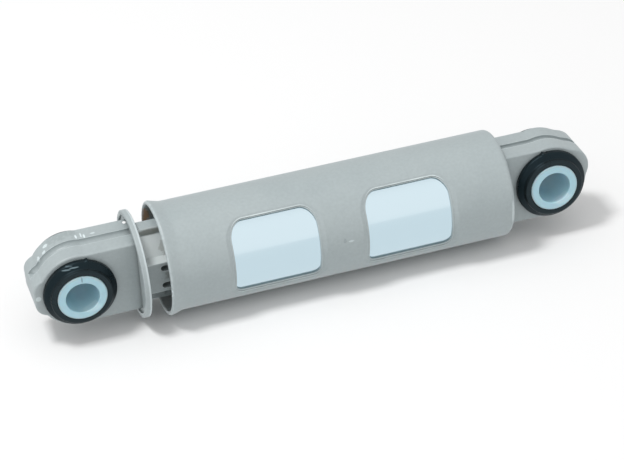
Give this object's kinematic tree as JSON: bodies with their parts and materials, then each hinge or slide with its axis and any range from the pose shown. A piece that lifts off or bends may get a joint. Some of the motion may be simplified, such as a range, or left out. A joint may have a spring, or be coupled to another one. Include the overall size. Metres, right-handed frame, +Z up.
{
  "type": "washing machine shock absorber",
  "caption": "Friction damper for a washing machine: a windowed tube with a steel liner, a sliding rod that carries a foam pad, and a rubber-bushed eye at each end.",
  "frame": {"origin": "centre of the bore of the housing's eye", "axes": "+X from the rod's eye to the housing's eye along the tube, +Y along the bore of the housing's eye, +Z up"},
  "size_m": [0.2112, 0.0422, 0.0422],
  "materials": {
    "grey_plastic": "moulded, satin",
    "plated_steel": "pale zinc plate",
    "greased_foam": "open foam soaked in grease",
    "black_rubber": "moulded, matte",
    "white_plastic": "moulded, satin"
  },
  "bodies": {
    "housing": {"housing": "grey_plastic", "liner_tube": "plated_steel", "housing_bush": "black_rubber"},
    "pad": {"friction_pad": "greased_foam"},
    "rod": {"rod": "grey_plastic", "rod_bush": "black_rubber"},
    "rod_sleeve": {"rod_sleeve": "white_plastic"},
    "housing_sleeve": {"housing_sleeve": "white_plastic"}
  },
  "joints": [
    {"name": "rod_slide", "type": "slide", "parent": "housing", "child": "pad", "axis": [-1, 0, 0], "range_m": [-0.007, 0.078]},
    {"name": "rod_swivel", "type": "hinge", "parent": "pad", "child": "rod", "pos_m": [-0.1791, 0, 0], "axis": [1, 0, 0], "continuous": true},
    {"name": "rod_sleeve_twist", "type": "hinge", "parent": "rod", "child": "rod_sleeve", "pos_m": [-0.1791, 0, 0], "axis": [0, 0.9963, 0.0861], "range_deg": [-15, 15], "stiffness_Nm_per_rad": 0.2},
    {"name": "housing_sleeve_twist", "type": "hinge", "parent": "housing", "child": "housing_sleeve", "pos_m": [0, 0, 0], "axis": [0, 1, 0], "range_deg": [-15, 15], "stiffness_Nm_per_rad": 0.2}
  ]
}
